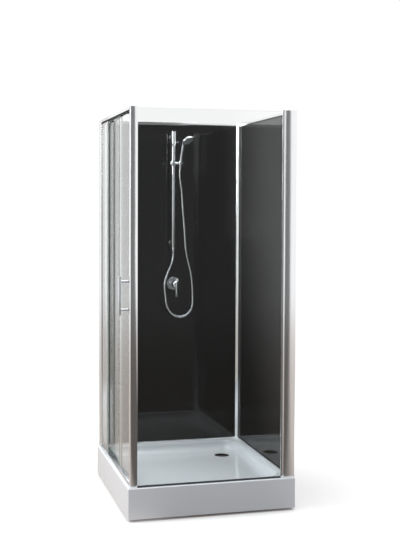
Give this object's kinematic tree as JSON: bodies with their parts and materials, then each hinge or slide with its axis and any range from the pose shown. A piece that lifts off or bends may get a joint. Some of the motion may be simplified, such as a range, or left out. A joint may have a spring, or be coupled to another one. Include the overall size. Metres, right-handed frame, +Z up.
{
  "type": "shower enclosure with sliding door",
  "caption": "Square framed shower enclosure with clear glass front, telescoping sliding door, black wall panels, raised tray, mixer and hand shower on a rail.",
  "frame": {"origin": "on the floor, under the middle of the tray", "axes": "+X to the right along the fixed glass front, +Y from the front to the back wall panel, +Z up"},
  "size_m": [0.9235, 0.9, 2.1],
  "materials": {
    "acrylic": "gloss white acrylic",
    "board": "raw particle board",
    "steel": "zinc plated",
    "pad": "black moulded",
    "profile": "bright polished and anodised",
    "sill": "dark grey strip",
    "black_glass": "black back-painted glass",
    "clear_glass": "clear toughened glass",
    "seal": "light grey extruded strip",
    "roller": "moulded nylon",
    "chrome": "polished chrome",
    "plated": "chrome-plated moulding",
    "face": "light grey with rubber nozzles",
    "hose": "wound metal hose"
  },
  "bodies": {
    "cabin": {"shower_tray": "acrylic", "tray_board": "board", "support_bars": "steel", "foot_pads": "pad", "foot_rods": "steel", "foot_nuts": "steel", "corner_post": "profile", "front_right_jamb": "profile", "front_channel": "profile", "back_left_jamb": "profile", "back_channel": "profile", "back_right_profile": "profile", "back_top_rail": "profile", "right_top_rail": "profile", "back_bottom_rail": "profile", "right_bottom_rail": "profile", "back_panel": "black_glass", "right_panel": "black_glass", "front_glass": "clear_glass", "front_sill": "sill", "bottom_track": "profile", "top_rail": "profile", "fixed_pane": "clear_glass", "fixed_pane_strip": "seal", "strike_strip": "seal", "shower_rail_tube": "chrome", "rail_top_plug": "chrome", "rail_outlet": "chrome", "rail_brackets": "chrome", "hose_nut_lower": "plated", "mixer_rosette": "chrome", "shower_hose": "hose"},
    "outer_leaf": {"outer_leaf_glass": "clear_glass", "outer_leaf_carriers": "roller", "outer_leaf_axles": "steel", "outer_leaf_top_shoes": "roller", "outer_leaf_seal": "seal", "outer_leaf_back_strip": "seal", "handle_bar": "chrome", "handle_standoffs": "chrome", "handle_screws": "chrome"},
    "inner_leaf": {"inner_leaf_glass": "clear_glass", "inner_leaf_carriers": "roller", "inner_leaf_axles": "steel", "inner_leaf_top_shoes": "roller", "inner_leaf_front_strip": "seal"},
    "outer_wheel_fore": {"outer_leaf_wheel_fore": "roller"},
    "outer_wheel_aft": {"outer_leaf_wheel_aft": "roller"},
    "inner_wheel_fore": {"inner_leaf_wheel_fore": "roller"},
    "inner_wheel_aft": {"inner_leaf_wheel_aft": "roller"},
    "slider": {"rail_slider": "plated", "holder_pin": "chrome"},
    "clamp_knob": {"slider_knob": "plated"},
    "holder": {"shower_holder": "plated"},
    "handset": {"hand_shower": "plated", "spray_face": "face", "hose_nut_upper": "plated"},
    "mixer_ball": {"mixer_body": "chrome"},
    "mixer_arm": {"mixer_lever": "chrome"}
  },
  "joints": [
    {"name": "outer_leaf_slide", "type": "slide", "parent": "cabin", "child": "outer_leaf", "axis": [0, 1, 0], "range_m": [0, 0.45]},
    {"name": "inner_leaf_slide", "type": "slide", "parent": "cabin", "child": "inner_leaf", "axis": [0, 1, 0], "range_m": [0, 0.14]},
    {"name": "outer_wheel_fore_spin", "type": "hinge", "parent": "outer_leaf", "child": "outer_wheel_fore", "pos_m": [-0.4215, -0.32, 0.1813], "axis": [1, 0, 0], "range_deg": [-3685, 0]},
    {"name": "outer_wheel_aft_spin", "type": "hinge", "parent": "outer_leaf", "child": "outer_wheel_aft", "pos_m": [-0.4215, -0.15, 0.1813], "axis": [1, 0, 0], "range_deg": [-3685, 0]},
    {"name": "inner_wheel_fore_spin", "type": "hinge", "parent": "inner_leaf", "child": "inner_wheel_fore", "pos_m": [-0.4105, -0.038, 0.1813], "axis": [1, 0, 0], "range_deg": [-1147, 0]},
    {"name": "inner_wheel_aft_spin", "type": "hinge", "parent": "inner_leaf", "child": "inner_wheel_aft", "pos_m": [-0.4105, 0.172, 0.1813], "axis": [1, 0, 0], "range_deg": [-1147, 0]},
    {"name": "slider_slide", "type": "slide", "parent": "cabin", "child": "slider", "axis": [0, 0, 1], "range_m": [-0.43, 0.13], "deforming": ["shower_hose"]},
    {"name": "clamp_knob_turn", "type": "hinge", "parent": "slider", "child": "clamp_knob", "pos_m": [-0.02248, 0.33475, 1.851], "axis": [-0.5736, -0.8192, 0], "range_deg": [0, 180]},
    {"name": "holder_tilt", "type": "hinge", "parent": "slider", "child": "holder", "pos_m": [0.00878, 0.32861, 1.851], "axis": [0.8192, 0.5736, 0], "range_deg": [-15, 20], "deforming": ["shower_hose"]},
    {"name": "handset_lift", "type": "slide", "parent": "holder", "child": "handset", "axis": [0.0749, -0.1069, 0.9914], "range_m": [0, 0.06], "deforming": ["shower_hose"]},
    {"name": "mixer_turn", "type": "hinge", "parent": "cabin", "child": "mixer_ball", "pos_m": [0.006, 0.363, 1.135], "axis": [0, -1, 0], "range_deg": [-40, 40]},
    {"name": "mixer_lift", "type": "hinge", "parent": "mixer_ball", "child": "mixer_arm", "pos_m": [0.006, 0.363, 1.135], "axis": [-1, 0, 0], "range_deg": [0, 22]}
  ],
  "couplings": [
    {"joint": "outer_wheel_fore_spin", "follows": "outer_leaf_slide", "rad_per_m": -142.86},
    {"joint": "outer_wheel_aft_spin", "follows": "outer_leaf_slide", "rad_per_m": -142.86},
    {"joint": "inner_wheel_fore_spin", "follows": "inner_leaf_slide", "rad_per_m": -142.86},
    {"joint": "inner_wheel_aft_spin", "follows": "inner_leaf_slide", "rad_per_m": -142.86}
  ]
}
